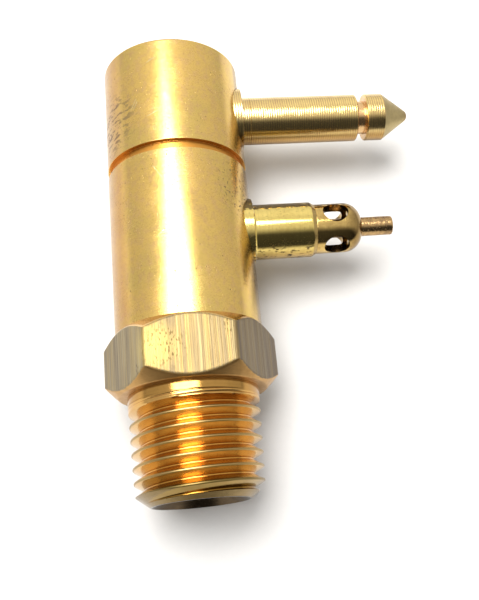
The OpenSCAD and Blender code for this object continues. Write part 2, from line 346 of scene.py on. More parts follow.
class Graph:
    """A material's node tree, with short names for the steps used here."""

    def __init__(self, name):
        self.material = bpy.data.materials.new(name)
        self.material.use_nodes = True
        self.tree = self.material.node_tree
        self.shader = self.tree.nodes["Principled BSDF"]
        place = self.tree.nodes.new("ShaderNodeTexCoord")
        self.place = self.math3("MULTIPLY", place.outputs["Object"], (1 / MM,) * 3)

    def node(self, kind, inputs=None, **settings):
        """A new node with its settings and inputs."""
        made = self.tree.nodes.new(kind)
        for key, value in settings.items():
            setattr(made, key, value)
        for key, value in (inputs or {}).items():
            self.feed(made.inputs[key], value)
        return made

    def feed(self, socket, value):
        """Links or sets a socket."""
        if isinstance(value, bpy.types.NodeSocket):
            self.tree.links.new(value, socket)
        else:
            socket.default_value = value

    def math(self, operation, a, b=0.0, c=0.0):
        made = self.node("ShaderNodeMath", {0: a, 1: b, 2: c}, operation=operation)
        return made.outputs[0]

    def math3(self, operation, a, b=(0, 0, 0), output="Vector"):
        made = self.node("ShaderNodeVectorMath", {0: a, 1: b}, operation=operation)
        return made.outputs[output]

    def lathe_place(self, axis, centre):
        """Point as (distance from the axis, distance along it, a little of the way round)."""
        local = self.math3("SUBTRACT", self.place, centre)
        split = self.node("ShaderNodeSeparateXYZ", {0: local})
        along, across = ("Y", "X") if axis == "Y" else ("X", "Y")
        flat = self.node("ShaderNodeCombineXYZ", {"X": split.outputs[across], "Y": split.outputs["Z"]})
        radius = self.math3("LENGTH", flat.outputs[0], output="Value")
        drift = self.math("MULTIPLY", split.outputs["Z"], 0.02)
        made = self.node("ShaderNodeCombineXYZ", {"X": radius, "Y": split.outputs[along], "Z": drift})
        return made.outputs[0]

    def noise(self, stretch, detail=3.0, place=None, rough=0.5):
        """Noise from 0 to 1; stretch is how many features there are in a millimetre on each axis."""
        spread = self.math3("MULTIPLY", place or self.place, stretch)
        made = self.node("ShaderNodeTexNoise",
                         {"Vector": spread, "Scale": 1.0, "Detail": detail, "Roughness": rough})
        return made.outputs["Fac"]

    def feed_lines(self, lathe, per_mm):
        """The even lines that a turning tool leaves, from 0 to 0.5, fading in and out."""
        along = self.node("ShaderNodeSeparateXYZ", {0: lathe}).outputs["Y"]
        wobble = self.math("MULTIPLY", self.noise((1.0, 1.0, 1.0), 2.0), 4.0)
        wave = self.math("SINE", self.math("MULTIPLY_ADD", along, 2 * math.pi * per_mm, wobble))
        strength = self.ramp(self.noise((0.7, 1.6, 1.6), 3.0), 0.35, 0.6, 0.08, 0.25)
        return self.math("MULTIPLY_ADD", wave, strength, 0.25)

    def ramp(self, value, low, high, to_low=0.0, to_high=1.0):
        """value mapped from low..high to to_low..to_high, and held there outside it."""
        made = self.node("ShaderNodeMapRange", {0: value, 1: low, 2: high, 3: to_low, 4: to_high},
                         interpolation_type="SMOOTHSTEP")
        return made.outputs[0]

    def mix(self, share, a, b):
        """Colour a turning into colour b as share goes from 0 to 1."""
        made = self.node("ShaderNodeMix", data_type="RGBA")
        self.feed(made.inputs[0], share)
        for socket, value in ((made.inputs[6], a), (made.inputs[7], b)):
            self.feed(socket, value if isinstance(value, bpy.types.NodeSocket) else (*value, 1.0))
        return made.outputs[2]

    def tint(self, share, tone, colour):
        """tone multiplied by colour, by a share from 0 to 1."""
        made = self.node("ShaderNodeMix", data_type="RGBA", blend_type="MULTIPLY")
        self.feed(made.inputs[0], share)
        self.feed(made.inputs[6], tone)
        self.feed(made.inputs[7], (*colour, 1.0))
        return made.outputs[2]

    def near(self, centre, inner, outer):
        """1 within inner of a point, falling to 0 at outer, in millimetres."""
        away = self.math3("LENGTH", self.math3("SUBTRACT", self.place, centre), output="Value")
        return self.ramp(away, inner, outer, 1.0, 0.0)

    def toward(self, centre, direction, low, high):
        """0 where a point is less than low from the centre in a direction, and 1 beyond high."""
        local = self.math3("SUBTRACT", self.place, centre)
        reach = self.math3("DOT_PRODUCT", local, Vector(direction).normalized(), "Value")
        return self.ramp(reach, low, high)

    def scratch(self, middle, direction, length, width=0.035):
        """1 on a fine straight scratch through a point."""
        way = Vector(direction).normalized()
        local = self.math3("SUBTRACT", self.place, middle)
        along = self.math3("DOT_PRODUCT", local, way, "Value")
        off = self.math3("LENGTH", self.math3("CROSS_PRODUCT", local, way), output="Value")
        line = self.ramp(off, width * 0.4, width, 1.0, 0.0)
        ends = self.ramp(self.math("ABSOLUTE", along), 0.35 * length, 0.5 * length, 1.0, 0.0)
        return self.math("MULTIPLY", line, ends)

    def bump(self, height, depth_mm):
        """A surface normal for a height from 0 to 1."""
        inputs = {"Height": height, "Strength": 1.0, "Distance": depth_mm * MM}
        return self.node("ShaderNodeBump", inputs).outputs[0]


def finish(graph, colour, roughness, normal=None, metallic=1.0):
    """Feeds the principled shader and returns the material."""
    if metallic:
        colour = graph.tint(1.0, colour, (METAL_GAIN,) * 3)
    for name, value in (("Base Color", colour), ("Roughness", roughness), ("Metallic", metallic)):
        graph.feed(graph.shader.inputs[name], value)
    if normal:
        graph.feed(graph.shader.inputs["Normal"], normal)
    return graph.material


def turned_brass(name, colour, shade_colour, roughness, axis="Y", centre=(0, 0, 0), *,
                 lines, line_depth, pits=0.0, mottle=0.35, tarnish=None, crust=0.0,
                 wear_and_painted_shade=None, second_shade=None, ring_mix=0.28, feed=0.0):
    """Lathe-turned brass: fine rings round its axis and cloudy colour.

    lines is how many rings there are in a millimetre, and line_depth how deep they are. mottle and
    ring_mix are the shares of shade_colour in the clouds and rings. pits and crust set how much dirt
    there is, and feed how many even tool marks there are in a millimetre, or 0 for none. tarnish gives
    a mask of where crust gathers, and the wear-and-painted-shade hook changes the finished colour and
    roughness, with real wear on some parts and painted shade on others.
    """
    graph = Graph(name)
    lathe = graph.lathe_place(axis, centre)
    rings = graph.noise((lines, lines, 1.0), 4.0, lathe, 0.65)
    if feed:
        rings = graph.math("MULTIPLY_ADD", rings, 0.5, graph.feed_lines(lathe, feed))
    broad = graph.noise((0.28, 0.28, 0.28), 4.0)
    fine = graph.noise((2.2, 2.2, 2.2), 4.0)
    cloud = graph.math("ADD", graph.math("MULTIPLY", broad, 0.6), graph.math("MULTIPLY", fine, 0.4))
    share = graph.ramp(cloud, 0.38, 0.68, 0.0, mottle)
    tone = graph.mix(share, colour, shade_colour)
    if second_shade:
        patches = graph.noise((0.17, 0.17, 0.17), 3.0)
        tone = graph.mix(graph.ramp(patches, 0.42, 0.62, 0.0, 0.7), tone, second_shade)
        blotch = graph.noise((1.5, 1.2, 1.5), 4.0, rough=0.6)
        tone = graph.mix(graph.ramp(blotch, 0.44, 0.66, 0.0, 0.5), tone, BLOTCH_COLOUR)
        grain = graph.noise((7.0, 7.0, 7.0), 2.0)
        tone = graph.tint(graph.ramp(grain, 0.50, 0.70, 0.0, 0.5), tone, (0.70, 0.64, 0.55))
    ring_share = graph.ramp(rings, 0.35, 0.7, 0.0, ring_mix)
    tone = graph.mix(ring_share, tone, shade_colour)
    rough = graph.ramp(cloud, 0.35, 0.7, roughness * 0.85, roughness * 1.25)
    height = graph.math("ADD", rings, graph.math("MULTIPLY", fine, 0.05 if feed else 0.5))
    if pits:
        specks = graph.noise((4.5, 4.5, 4.5), 1.0)
        where = graph.ramp(graph.noise((0.35, 0.35, 0.35), 2.0), 0.42, 0.62)
        hole = graph.math("MULTIPLY", graph.ramp(specks, 0.74 - pits, 0.80 - pits), where)
        tone = graph.mix(graph.math("MULTIPLY", hole, 0.85), tone, PIT_COLOUR)
        rough = graph.math("ADD", rough, graph.math("MULTIPLY", hole, 0.3))
        height = graph.math("SUBTRACT", height, graph.math("MULTIPLY", hole, 3.0))
    if tarnish:
        edge = tarnish(graph)
        ragged = graph.noise((1.4, 3.0, 3.0), 5.0, rough=0.7)
        stain = graph.ramp(graph.math("ADD", ragged, graph.math("MULTIPLY", edge, 0.36)), 0.68, 0.78)
        dots = graph.ramp(graph.noise((4.0, 4.0, 4.0), 3.0), 0.61, 0.67)
        stain = graph.math("MAXIMUM", stain, graph.math("MULTIPLY", dots, crust))
        tone = graph.mix(graph.math("MULTIPLY", stain, 0.9), tone, CRUST_COLOUR)
        rough = graph.math("ADD", rough, graph.math("MULTIPLY", stain, 0.35))
    if wear_and_painted_shade:
        tone, rough = wear_and_painted_shade(graph, tone, rough)
    normal = graph.bump(height, line_depth)
    return finish(graph, tone, rough, normal)


def barrel_wear_and_painted_shade(graph, tone, rough):
    """Dark scuffs away from the prongs, pits by the valve prong's root, bright scratches, and painted
    shade on the left and right sides.
    """
    scuff = graph.ramp(graph.noise((0.9, 2.4, 0.9), 3.0, rough=0.6), 0.50, 0.60)
    scuff = graph.math("MULTIPLY", scuff, graph.near(SCUFFED, 1.8, 4.6))
    dots = graph.ramp(graph.noise((3.4, 3.4, 3.4), 1.5), 0.60, 0.65)
    dots = graph.math("MULTIPLY", dots, graph.near(PITTED, 1.5, 4.5))
    dark = graph.math("MAXIMUM", graph.math("MULTIPLY", scuff, 0.65), graph.math("MULTIPLY", dots, 0.85))
    tone = graph.mix(dark, tone, SCUFF_COLOUR)
    rough = graph.math("ADD", rough, graph.math("MULTIPLY", dark, 0.25))
    bright = None
    for middle, direction, length in SCRATCHES:
        mark = graph.scratch(middle, direction, length)
        bright = graph.math("MAXIMUM", bright, mark) if bright else mark
    tone = graph.mix(graph.math("MULTIPLY", bright, 0.75), tone, SCRATCH_COLOUR)
    # Painted shade: the barrel's left and right sides are darkened, standing for the dark floor and room
    # that they reflect.
    painted_shade_left = graph.toward((0, 0, 0), (-1, 0, 0.1), 5.9, 6.9)
    tone = graph.tint(painted_shade_left, tone, (0.66, 0.58, 0.62))
    right = graph.toward((0, 0, 0), (1, 0, -0.1), 6.6, 7.2)
    tone = graph.tint(right, tone, (0.44, 0.41, 0.42))
    return tone, rough


def pin_painted_shade(graph, tone, rough):
    """Painted shade: brown darkening on the side of the guide pin that faces the valve prong."""
    side = graph.toward((0, GUIDE_Y, 0), SHADED_SIDE, 1.9, 2.5)
    return graph.tint(side, tone, (0.60, 0.50, 0.40)), rough


def sleeve_painted_shade(graph, tone, rough):
    """Painted shade: a lighter brown darkening on the side of the sleeve that faces the hexagon."""
    side = graph.toward((0, VALVE_Y, 0), SHADED_SIDE, 2.2, 2.9)
    return graph.tint(side, tone, (0.70, 0.62, 0.58)), rough


def cone_wear(graph, tone, rough):
    """Brown on the rounded tip."""
    tip = graph.toward((CONE_X, GUIDE_Y, 0), (1, 0, 0), 2.6, 3.5)
    return graph.tint(tip, tone, (0.66, 0.52, 0.48)), rough


def cage_nose_darkening(graph, tone, rough):
    """Darker towards the nose."""
    nose = graph.toward((CAGE_HIGH.x, VALVE_Y, 0), (1, 0, 0), -2.4, -1.0)
    return graph.tint(nose, tone, (0.50, 0.47, 0.48)), rough


def groove_painted_shade(graph, tone, rough):
    """Painted shade: deeper orange-brown on the groove's floor, standing for the shade in the recess."""
    lathe = graph.lathe_place("Y", (0, 0, 0))
    radius = graph.node("ShaderNodeSeparateXYZ", {0: lathe}).outputs["X"]
    floor = graph.ramp(radius, BARREL_R - GROOVE_DEPTH + 0.02, BARREL_R - 0.22, 1.0, 0.0)
    return graph.tint(floor, tone, (0.84, 0.66, 0.46)), rough


def drawn_brass():
    """The bar's own skin on the hexagon: drawing streaks along the body, grey oxide and dark spots, with
    painted shade on the right flat.
    """
    graph = Graph("hexagon_drawn_brass")
    wide = graph.noise((1.3, 0.02, 1.3), 2.0)
    fine = graph.noise((5.0, 0.05, 5.0), 4.0, rough=0.7)
    hair = graph.noise((15.0, 0.10, 15.0), 2.0)
    streaks = graph.math("ADD", graph.math("MULTIPLY", wide, 0.45), graph.math("MULTIPLY", fine, 0.55))
    tone = graph.mix(graph.ramp(streaks, 0.40, 0.58), (0.50, 0.39, 0.19), (0.34, 0.28, 0.20))
    tone = graph.mix(graph.ramp(hair, 0.50, 0.64, 0.0, 0.55), tone, (0.20, 0.16, 0.10))
    tone = graph.mix(graph.ramp(fine, 0.54, 0.66, 0.0, 0.8), tone, (0.66, 0.58, 0.36))
    bare = graph.near(BARE, 0.6, 3.2)
    tone = graph.mix(graph.math("MULTIPLY", bare, 0.6), tone, (0.80, 0.64, 0.24))
    spots = graph.noise((6.5, 2.2, 6.5), 1.0)
    where = graph.math("MAXIMUM", graph.near(SPOTTED, 1.0, 3.0),
                       graph.ramp(graph.noise((0.4, 0.15, 0.4), 1.0), 0.60, 0.70))
    dark = graph.math("MULTIPLY", graph.ramp(spots, 0.58, 0.66), where)
    tone = graph.mix(graph.math("MULTIPLY", dark, 0.8), tone, (0.15, 0.11, 0.05))
    under_flat, at_flat = 7.6, 7.85
    front = graph.toward((0, 0, 0), (0, 0, 1), under_flat, at_flat)
    tone = graph.tint(front, tone, (0.86, 0.78, 0.60))
    # Painted shade: the right flat is darkened where it reflects the shadowed floor.
    right = graph.toward((0, 0, 0), (math.sqrt(3), 0, 1), under_flat, at_flat)
    tone = graph.tint(right, tone, (0.66, 0.64, 0.70))
    rough = graph.ramp(streaks, 0.3, 0.7, 0.46, 0.58)
    height = graph.math("ADD", fine, graph.math("MULTIPLY", hair, 0.5))
    return finish(graph, tone, rough, graph.bump(height, 0.035))


def thread_brass():
    """Orange-gold flanks with dull rubbed crests, deeper in the roots, and painted shade darkening both
    ends.
    """
    graph = Graph("thread_brass")
    lathe = graph.lathe_place("Y", (0, 0, 0))
    split = graph.node("ShaderNodeSeparateXYZ", {0: lathe})
    radius, along = split.outputs["X"], split.outputs["Y"]
    cone = graph.math("ADD", graph.math("MULTIPLY", along, THREAD_TAPER), CREST_R)
    below = graph.math("SUBTRACT", cone, radius)
    ragged = graph.noise((3.0, 3.0, 3.0), 4.0)
    full_thread = graph.ramp(along, 8.4, 9.4, 1.0, 0.0)
    worn = graph.math("ADD", below, graph.math("MULTIPLY", ragged, 0.12))
    rubbed = graph.math("MULTIPLY", full_thread, graph.ramp(worn, 0.10, 0.20, 1.0, 0.0))
    flank = graph.mix(graph.ramp(graph.noise((0.5, 0.5, 0.5), 5.0), 0.35, 0.7),
                      (0.86, 0.55, 0.20), (0.76, 0.46, 0.16))
    tone = graph.mix(graph.math("MULTIPLY", rubbed, 0.85), flank, (0.40, 0.28, 0.11))
    root = graph.ramp(below, THREAD_DEPTH - 0.14, THREAD_DEPTH - 0.04)
    tone = graph.tint(root, tone, (0.80, 0.64, 0.38))
    # Painted shade: darker towards the threaded end, where the flanks reflect the dark floor before it,
    # and towards the neck, under the hexagon.
    tone = graph.tint(graph.ramp(along, 0.9, 2.6, 1.0, 0.0), tone, (0.45, 0.47, 0.38))
    tone = graph.tint(graph.ramp(along, 8.9, 9.8), tone, (0.85, 0.78, 0.66))
    rough = graph.ramp(rubbed, 0.0, 1.0, 0.17, 0.34)
    height = graph.noise((9.0, 9.0, 1.0), 3.0, lathe)
    nicks = graph.math("MULTIPLY", graph.ramp(ragged, 0.60, 0.70), rubbed)
    height = graph.math("SUBTRACT", height, graph.math("MULTIPLY", nicks, 2.0))
    return finish(graph, tone, rough, graph.bump(height, 0.0025))


def rubber():
    """Black nitrile with a fine grain."""
    graph = Graph("seal_rubber")
    grain = graph.noise((14.0, 14.0, 14.0), 4.0)
    tone = graph.mix(grain, (0.012, 0.012, 0.013), (0.035, 0.034, 0.033))
    return finish(graph, tone, 0.62, graph.bump(grain, 0.004), 0.0)


def spring_steel():
    """Drawn stainless wire."""
    graph = Graph("spring_steel")
    lines = graph.noise((3.0, 12.0, 12.0), 4.0)
    tone = graph.mix(lines, (0.62, 0.62, 0.63), (0.42, 0.42, 0.43))
    return finish(graph, tone, graph.ramp(lines, 0.3, 0.7, 0.2, 0.34), graph.bump(lines, 0.001))


def make_materials():
    """Every material, by the name of the surface that it is on."""
    valve_axis, guide_axis = (0, VALVE_Y, 0), (0, GUIDE_Y, 0)

    def top_edge(graph):
        """Where crust gathers on the valve prong: towards the guide pin, and less opposite."""
        far = graph.toward(valve_axis, (0, 0.91, 0.41), 2.3, 2.8)
        near = graph.toward(valve_axis, (0, -0.95, 0.30), 2.2, 3.0)
        return graph.math("MAXIMUM", far, graph.math("MULTIPLY", near, 0.45))

    return {
        "barrel": turned_brass("barrel_brass", (0.98, 0.665, 0.19), (0.80, 0.52, 0.17), 0.24,
                               lines=5.0, line_depth=0.008, pits=0.045, mottle=0.5, wear_and_painted_shade=barrel_wear_and_painted_shade,
                               second_shade=(0.82, 0.60, 0.18)),
        "end": turned_brass("faced_brass", (0.90, 0.66, 0.22), (0.74, 0.54, 0.19), 0.22,
                            lines=6.0, line_depth=0.012, pits=0.03),
        "machined": turned_brass("machined_brass", (0.90, 0.60, 0.24), (0.72, 0.44, 0.16), 0.14,
                                 lines=9.0, line_depth=0.004),
        # The neck's dark orange is painted shade under the hexagon's washer face.
        "neck": turned_brass("neck_brass_painted_shade", (0.58, 0.32, 0.085), (0.38, 0.20, 0.05), 0.13,
                             lines=9.0, line_depth=0.004),
        "chamfer": turned_brass("chamfer_brass", (0.68, 0.40, 0.14), (0.50, 0.29, 0.10), 0.38,
                                lines=7.0, line_depth=0.010, mottle=0.6),
        # The groove's deeper, more saturated orange is painted shade in the recess.
        "groove": turned_brass("groove_brass_painted_shade", (0.98, 0.58, 0.16), (0.76, 0.42, 0.10), 0.3,
                               lines=9.0, line_depth=0.004, wear_and_painted_shade=groove_painted_shade),
        # The bore's near-black is painted shade inside the hole.
        "bore": turned_brass("bore_brass_painted_shade", (0.07, 0.05, 0.03), (0.04, 0.03, 0.02), 0.3,
                             lines=4.0, line_depth=0.012, mottle=0.8),
        # The mouth's and lead's dark browns are painted shade: in the countersink, and on the end that
        # faces the dark side of the room.
        "mouth": turned_brass("mouth_brass_painted_shade", (0.13, 0.09, 0.05), (0.06, 0.042, 0.026), 0.14,
                              lines=8.0, line_depth=0.008, mottle=0.6, pits=0.02),
        "lead": turned_brass("lead_brass_painted_shade", (0.32, 0.22, 0.09), (0.21, 0.15, 0.06), 0.24,
                             lines=8.0, line_depth=0.006, mottle=0.7),
        "hexagon": drawn_brass(),
        "thread": thread_brass(),
        "pin": turned_brass("pin_brass", (1.0, 0.76, 0.29), (0.60, 0.37, 0.19), 0.21, "X",
                            guide_axis, lines=7.0, line_depth=0.022, mottle=0.4,
                            ring_mix=0.6, feed=3.7, wear_and_painted_shade=pin_painted_shade),
        "latch": turned_brass("latch_brass", (0.94, 0.62, 0.30), (0.74, 0.44, 0.18), 0.24, "X",
                              guide_axis, lines=8.0, line_depth=0.006),
        "cone": turned_brass("cone_brass", (0.60, 0.47, 0.22), (0.42, 0.33, 0.16), 0.40, "X",
                             guide_axis, lines=8.0, line_depth=0.012, mottle=0.7, wear_and_painted_shade=cone_wear),
        "sleeve": turned_brass("sleeve_brass", (0.98, 0.76, 0.24), (0.70, 0.50, 0.15), 0.13, "X",
                               valve_axis, lines=6.0, line_depth=0.006, mottle=0.6,
                               tarnish=top_edge, crust=0.25, wear_and_painted_shade=sleeve_painted_shade),
        "rim": turned_brass("rim_brass", (0.60, 0.42, 0.15), (0.36, 0.24, 0.08), 0.24, "X",
                            valve_axis, lines=8.0, line_depth=0.004),
        "cage": turned_brass("cage_brass", (0.86, 0.60, 0.20), (0.54, 0.35, 0.12), 0.12, "X",
                             valve_axis, lines=6.0, line_depth=0.006, mottle=0.8,
                             tarnish=top_edge, crust=0.3, wear_and_painted_shade=cage_nose_darkening),
        # The cage's inside and ports are painted shade in dark brown.
        "port": turned_brass("port_brass_painted_shade", (0.20, 0.13, 0.05), (0.08, 0.05, 0.02), 0.25, "X",
                             valve_axis, lines=6.0, line_depth=0.004, mottle=0.8),
        "stem": turned_brass("stem_brass", (0.72, 0.47, 0.20), (0.26, 0.16, 0.09), 0.24, "X",
                             valve_axis, lines=3.0, line_depth=0.040, mottle=1.0, pits=0.08),
        "poppet": turned_brass("poppet_brass", (0.86, 0.66, 0.28), (0.66, 0.48, 0.20), 0.22, "X",
                               valve_axis, lines=8.0, line_depth=0.010),
        "seal": rubber(),
        "spring": spring_steel(),
    }


# ---- body ----

def hexagon_r(angle):
    """Distance from the axis to the hexagon's side at an angle from +X towards +Z."""
    sector = math.pi / 3
    off_corner = abs((angle + sector / 2) % sector - sector / 2)
    return HEX_FLAT_R / math.cos(sector / 2 - off_corner)


def turned_limit(y):
    """Radius of the chamfers and softened corners that were turned on the hexagon."""
    slope_low = (HEX_CORNER_R - WASHER_R) / (CORNER_LOW_Y - WASHER_Y)
    slope_high = (HEX_CORNER_R - BARREL_R) / (BARREL_START_Y - CORNER_HIGH_Y)
    return min(HEX_CORNER_R, WASHER_R + slope_low * (y - WASHER_Y),
               BARREL_R + slope_high * (BARREL_START_Y - y))


def hexagon_solid():
    """The hexagon with its chamfers and soft edges, as one closed surface of rows and columns."""
    columns, row_count = 480, 96
    edge, corner_blend, tuck = 0.06, 0.22, 0.15
    top_y = BARREL_START_Y + tuck
    rows = [(WASHER_Y, WASHER_R * 0.8), (WASHER_Y, WASHER_R - edge), (WASHER_Y + edge / 3, WASHER_R)]
    for i in range(1, row_count + 1):
        y = WASHER_Y + (top_y - WASHER_Y) * i / row_count
        rows.append((y, turned_limit(y)))
    vertices, faces = [(0, WASHER_Y, 0)], []
    for y, limit in rows:
        for j in range(columns):
            angle = 2 * math.pi * j / columns
            r = soft_min(hexagon_r(angle), limit, corner_blend) if limit > WASHER_R else limit
            vertices.append((r * math.cos(angle), y, r * math.sin(angle)))
    vertices.append((0, top_y, 0))
    last = len(vertices) - 1
    for j in range(columns):
        k = (j + 1) % columns
        faces.append((0, 1 + j, 1 + k))
        for i in range(len(rows) - 1):
            a, b = 1 + i * columns, 1 + (i + 1) * columns
            faces.append((a + j, b + j, b + k, a + k))
        a = 1 + (len(rows) - 1) * columns
        faces.append((a + j, last, a + k))
    return mesh("hexagon_solid", vertices, faces)


def thread_r(share, y):
    """Thread radius at a share of the pitch from a root's middle, fading out towards the neck."""
    wash_start, crest_blend = 0.5, 0.06
    off_root = min(share, 1 - share) * PITCH
    crest = CREST_R + THREAD_TAPER * y
    root = crest - THREAD_DEPTH
    flank = root + max(0, off_root - ROOT_FLAT / 2) / math.tan(FLANK_ANGLE)
    lifted = flank + max(0, y - FADE_Y) * FADE_SLOPE
    wash = min(max((y - FADE_Y) / wash_start, 0), 1) * WASH_DEPTH
    line = max(0, math.cos(2 * math.pi * WASH_LINES * share))
    return soft_min(lifted, crest, crest_blend) - wash * line


def thread_solid():
    """The thread's ridge and core, longer than the envelope that trims it to its cone.

    Its rows follow the helix, so the crests stay clean lines.
    """
    columns, rows_per_turn, turns = 180, 26, 10
    low_y, top_y = -1.6 * PITCH, NECK_Y + 1.2
    vertices, faces = [], []
    row_count = rows_per_turn * turns
    for i in range(row_count + 1):
        share = (i / rows_per_turn) % 1
        for j in range(columns):
            turn = j / columns
            y = THREAD_PHASE + low_y + PITCH * (i / rows_per_turn + turn)
            angle = -2 * math.pi * turn
            r = thread_r(share, y)
            vertices.append((r * math.cos(angle), min(y, top_y), r * math.sin(angle)))
    for i in range(row_count):
        for j in range(columns):
            a = i * columns + j
            if j < columns - 1:
                faces.append((a, a + 1, a + columns + 1, a + columns))
            elif i + rows_per_turn < row_count:
                b = (i + rows_per_turn) * columns
                faces.append((a, b, b + columns, a + columns))
    low_loop = list(range(columns)) + [i * columns for i in range(rows_per_turn, 0, -1)]
    top = row_count - rows_per_turn
    high_loop = [row_count * columns + j for j in range(columns)]
    high_loop += [i * columns + columns - 1 for i in range(row_count - 1, top - 1, -1)]
    for loop, y in ((low_loop, low_y - 2 * PITCH), (high_loop, top_y + 2 * PITCH)):
        centre = len(vertices)
        vertices.append((0, y, 0))
        for a, b in zip(loop, loop[1:] + loop[:1]):
            faces.append((a, b, centre))
    return mesh("thread_solid", vertices, faces)


def make_body():
    """Barrel, neck, hexagon and thread joined as one bar, then bored and drilled for the prongs."""
    neck_break, floor_support, end_edge = 0.15, 0.1, 0.22
    floor_r = BARREL_R - GROOVE_DEPTH
    groove_low, groove_high = GROOVE_Y - GROOVE_W / 2, GROOVE_Y + GROOVE_W / 2
    core = on_y("body_shell", rounded([
        (0, NECK_Y),
        (NECK_R - neck_break, NECK_Y),
        (NECK_R, NECK_Y + neck_break),
        (NECK_R, WASHER_Y + 0.4),
        (NECK_R, CORNER_LOW_Y),
        (BARREL_R, CORNER_LOW_Y + 0.8),
        (BARREL_R, groove_low),
        (floor_r, groove_low),
        (floor_r, groove_low + floor_support, 0),
        (floor_r, groove_high - floor_support, 0),
        (floor_r, groove_high),
        (BARREL_R, groove_high),
        (BARREL_R, BODY_LENGTH, end_edge),
        (0, BODY_LENGTH),
    ], 0.05), 256)
    thread = thread_solid()
    combine(thread, on_y("thread_envelope", rounded([
        (0, 0), (END_RING_R, 0), (END_RING_R + 3, 3 / END_SLOPE), (END_RING_R + 3, NECK_Y + 0.3),
        (0, NECK_Y + 0.3)], 0.03)), "INTERSECT")
    combine(core, thread, "UNION")
    combine(core, hexagon_solid(), "UNION")
    drill_tip = INLET_R / math.tan(DRILL_HALF_ANGLE)
    combine(core, on_y("inlet_tool", [
        (0, -1), (MOUTH_R + 1, -1), (INLET_R, MOUTH_R - INLET_R), (INLET_R, INLET_DEPTH),
        (0, INLET_DEPTH + drill_tip)]), "DIFFERENCE")
    combine(core, on_x("cross_tool", VALVE_Y, [
        (0, 0), (CROSS_HOLE_R, 0), (CROSS_HOLE_R, SOCKET_X + 1), (0, SOCKET_X + 1)]), "DIFFERENCE")
    for axis_y in (VALVE_Y, GUIDE_Y):
        combine(core, on_x("socket_tool", axis_y, [
            (0, SOCKET_X), (ROOT_R + SEAM, SOCKET_X), (ROOT_R + SEAM, BARREL_R + 1),
            (0, BARREL_R + 1)]), "DIFFERENCE")
    shade(core)
    return core


def body_surface(centre):
    """Which material a face of the body has. A small slack takes in each edge's rounding."""
    slack = 0.03
    radius, y = math.hypot(centre.x, centre.z), centre.y
    if radius < INLET_R + 0.02 and y < INLET_DEPTH + 3:
        return "bore"
    if y < 0.05 or (radius < MOUTH_R and y < 1):
        return "mouth"
    if y < NECK_Y:
        return "lead" if y < (radius - END_RING_R) / END_SLOPE + slack else "thread"
    if y < BARREL_START_Y + 0.1 and radius > BARREL_R + 0.005:
        angle = math.atan2(centre.z, centre.x)
        if hexagon_r(angle) < turned_limit(y) or CORNER_LOW_Y < y < CORNER_HIGH_Y:
            return "hexagon"
        return "chamfer" if y < CORNER_LOW_Y else "machined"
    if y < CORNER_LOW_Y:
        return "neck" if radius < NECK_R + 0.02 else "chamfer"
    if abs(y - GROOVE_Y) < GROOVE_W / 2 + slack and radius < BARREL_R - 0.01:
        return "groove"
    return "end" if y > BODY_LENGTH - 0.02 else "barrel"


# ---- prongs ----

def make_guide_pin():
    """Pressed root, shank with a witness line, latch groove and rounded cone."""
    mark_x, mark_w, mark_depth = 8.85, 0.03, 0.03
    latch_end_x = LATCH_X + LATCH_W
    apex_x = CONE_X + PIN_R / math.tan(CONE_HALF_ANGLE)
    tip_x = apex_x - TIP_R / math.sin(CONE_HALF_ANGLE)
    outline = rounded([
        (0, SOCKET_X),
        (ROOT_R - EDGE_BREAK, SOCKET_X),
        (ROOT_R, SOCKET_X + EDGE_BREAK),
        (ROOT_R, ROOT_FACE_X),
        (PIN_R, ROOT_FACE_X),
        (PIN_R, mark_x - 2 * mark_w, 0),
        (PIN_R, mark_x - mark_w, 0),
        (PIN_R - mark_depth, mark_x, 0),
        (PIN_R, mark_x + mark_w, 0),
        (PIN_R, mark_x + 2 * mark_w, 0),
        (PIN_R, LATCH_X - EDGE_BREAK),
        (PIN_R - EDGE_BREAK, LATCH_X),
        (LATCH_R, LATCH_X),
        (LATCH_R, latch_end_x),
        (PIN_R - EDGE_BREAK, latch_end_x),
        (PIN_R, latch_end_x + EDGE_BREAK),
        (PIN_R, CONE_X),
        *arc(0, tip_x, TIP_R, math.degrees(CONE_HALF_ANGLE), 90, 10),
    ], 0.05)
    outline[-1].x = 0
    pin = on_x("guide_pin_turned", GUIDE_Y, outline)
    shade(pin, 40)
    return pin


def pin_surface(centre):
    """Which material a face of the guide pin has."""
    radius = math.hypot(centre.y - GUIDE_Y, centre.z)
    if LATCH_X - 0.01 < centre.x < LATCH_X + LATCH_W + 0.01 and radius < PIN_R - 0.1:
        return "latch"
    return "cone" if centre.x > CONE_X else "pin"


def make_sleeve():
    """Pressed root, smooth shank and the tapered rolled rim, bored for the valve."""
    rim_r, lead = CAGE_R + 0.03, 0.2
    sleeve = on_x("nozzle_sleeve_turned", VALVE_Y, rounded([
        (PASSAGE_R, SOCKET_X),
        (ROOT_R - EDGE_BREAK, SOCKET_X),
        (ROOT_R, SOCKET_X + EDGE_BREAK),
        (ROOT_R, ROOT_FACE_X),
        (SLEEVE_R + lead, ROOT_FACE_X),
        (SLEEVE_R, ROOT_FACE_X + lead),
        (SLEEVE_R, SLEEVE_END_X - RIM_L, 0.12),
        (rim_r, SLEEVE_END_X, 0.03),
        (CHAMBER_R, SLEEVE_END_X, 0.01),
        (CHAMBER_R, SPRING_FOOT_X),
        (PASSAGE_R, SPRING_FOOT_X),
    ], 0.05, closed=True), closed=True)
    shade(sleeve, 40)
    return sleeve


def sleeve_surface(centre):
    """Which material a face of the sleeve has."""
    return "rim" if centre.x > SLEEVE_END_X - RIM_L - 0.03 else "sleeve"


